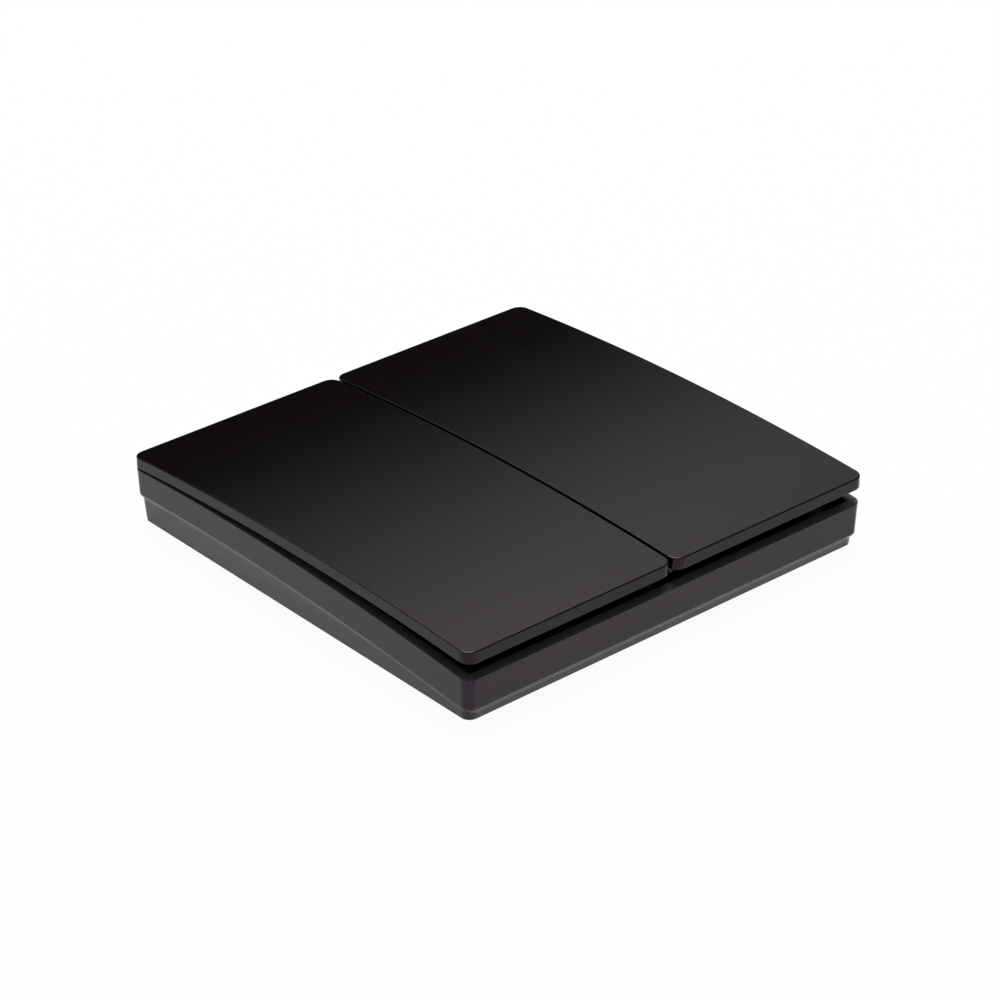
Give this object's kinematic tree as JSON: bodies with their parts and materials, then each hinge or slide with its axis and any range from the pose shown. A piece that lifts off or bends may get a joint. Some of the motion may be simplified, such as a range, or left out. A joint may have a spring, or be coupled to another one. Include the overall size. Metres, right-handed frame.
{
  "type": "wireless remote wall switch",
  "caption": "Flat square wall switch, matt black: a pair of arched rocking keys side by side over a leaning frame and a paler tapered back shell, with a self-powered radio sender inside.",
  "frame": {"origin": "middle of the flat back face that goes on the wall", "axes": "+Z out of the wall, +Y towards the hinged end of the keys (up on a wall), +X to the right"},
  "size_m": [0.086, 0.086, 0.014],
  "materials": {
    "key_plastic": "fine satin",
    "frame_plastic": "fine satin",
    "shell_plastic": "fine grain",
    "inner_plastic": "moulded",
    "board": "solder mask",
    "chip": "moulded",
    "capacitor": "moulded",
    "copper_wire": "enamelled wire",
    "tinned": "tinned",
    "steel": "zinc plated",
    "spring_steel": "bright",
    "magnet": "nickel plated"
  },
  "bodies": {
    "base": {"front_frame": "frame_plastic", "back_shell": "shell_plastic", "circuit_board": "board", "radio_chip": "chip", "power_chip": "chip", "crystal": "tinned", "storage_capacitors": "capacitor", "antenna": "copper_wire", "board_screws": "steel", "generator_screws": "steel", "left_return_spring": "spring_steel", "left_generator_base": "inner_plastic", "left_coil_bobbin": "inner_plastic", "left_coil_winding": "copper_wire", "left_coil_core": "steel", "left_coil_pins": "tinned", "left_rocker_axle": "steel", "right_return_spring": "spring_steel", "right_generator_base": "inner_plastic", "right_coil_bobbin": "inner_plastic", "right_coil_winding": "copper_wire", "right_coil_core": "steel", "right_coil_pins": "tinned", "right_rocker_axle": "steel"},
    "left_key": {"left_key_cover": "key_plastic", "left_key_carrier": "frame_plastic"},
    "left_rocker_arm": {"left_rocker": "inner_plastic", "left_magnet": "magnet", "left_upper_pole": "steel", "left_lower_pole": "steel", "left_leaf_spring": "spring_steel"},
    "right_key": {"right_key_cover": "key_plastic", "right_key_carrier": "frame_plastic"},
    "right_rocker_arm": {"right_rocker": "inner_plastic", "right_magnet": "magnet", "right_upper_pole": "steel", "right_lower_pole": "steel", "right_leaf_spring": "spring_steel"}
  },
  "joints": [
    {"name": "left_key_hinge", "type": "hinge", "parent": "base", "child": "left_key", "pos_m": [-0.02075, 0.0385, 0.00875], "axis": [1, 0, 0], "range_deg": [0, 1.7], "stiffness_Nm_per_rad": 4, "springref_deg": -1.15, "deforming": ["left_return_spring"]},
    {"name": "left_rocker_hinge", "type": "hinge", "parent": "base", "child": "left_rocker_arm", "pos_m": [-0.02075, 0.0135, 0.0053], "axis": [1, 0, 0], "range_deg": [0, 3]},
    {"name": "right_key_hinge", "type": "hinge", "parent": "base", "child": "right_key", "pos_m": [0.02075, 0.0385, 0.00875], "axis": [1, 0, 0], "range_deg": [0, 1.7], "stiffness_Nm_per_rad": 4, "springref_deg": -1.15, "deforming": ["right_return_spring"]},
    {"name": "right_rocker_hinge", "type": "hinge", "parent": "base", "child": "right_rocker_arm", "pos_m": [0.02075, 0.0135, 0.0053], "axis": [1, 0, 0], "range_deg": [0, 3]}
  ],
  "couplings": [
    {"joint": "left_rocker_hinge", "follows": "left_key_hinge", "ratio": 1.74},
    {"joint": "right_rocker_hinge", "follows": "right_key_hinge", "ratio": 1.74}
  ]
}
